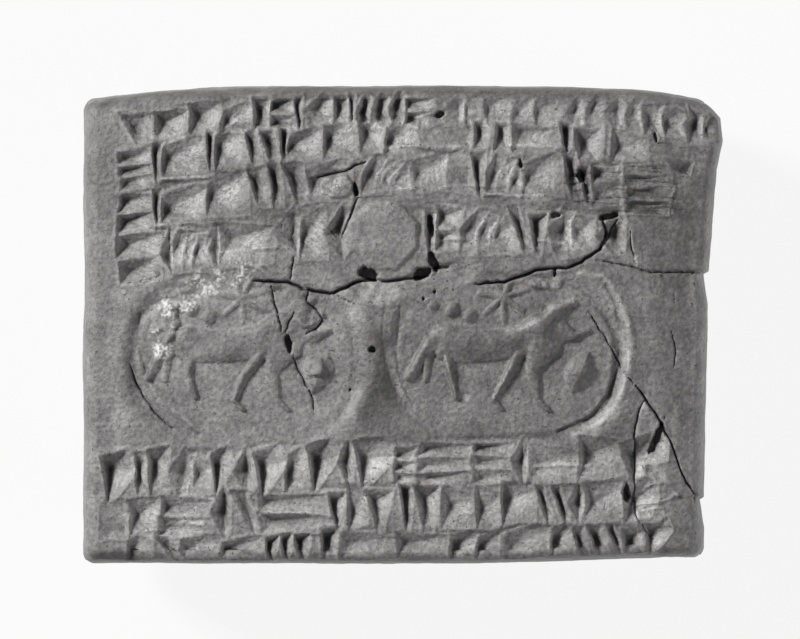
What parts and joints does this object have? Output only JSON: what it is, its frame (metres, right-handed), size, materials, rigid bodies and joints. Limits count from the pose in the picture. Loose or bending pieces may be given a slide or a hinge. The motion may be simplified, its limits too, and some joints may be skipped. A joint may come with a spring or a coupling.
{
  "type": "cuneiform tablet",
  "caption": "Small pillow-shaped clay tablet with rows of wedge strokes and oval stamp-seal impressions, cracked and mended, lying face up on its back.",
  "frame": {"origin": "under the middle of the tablet, on the surface that its back rests on", "axes": "+X along the rows of writing from their left end to their right end, +Y across the rows towards the top edge, +Z out of the inscribed face"},
  "size_m": [0.0569, 0.0426, 0.0222],
  "materials": {
    "clay": "matte"
  },
  "bodies": {
    "root": {"tablet": "clay"}
  },
  "joints": []
}
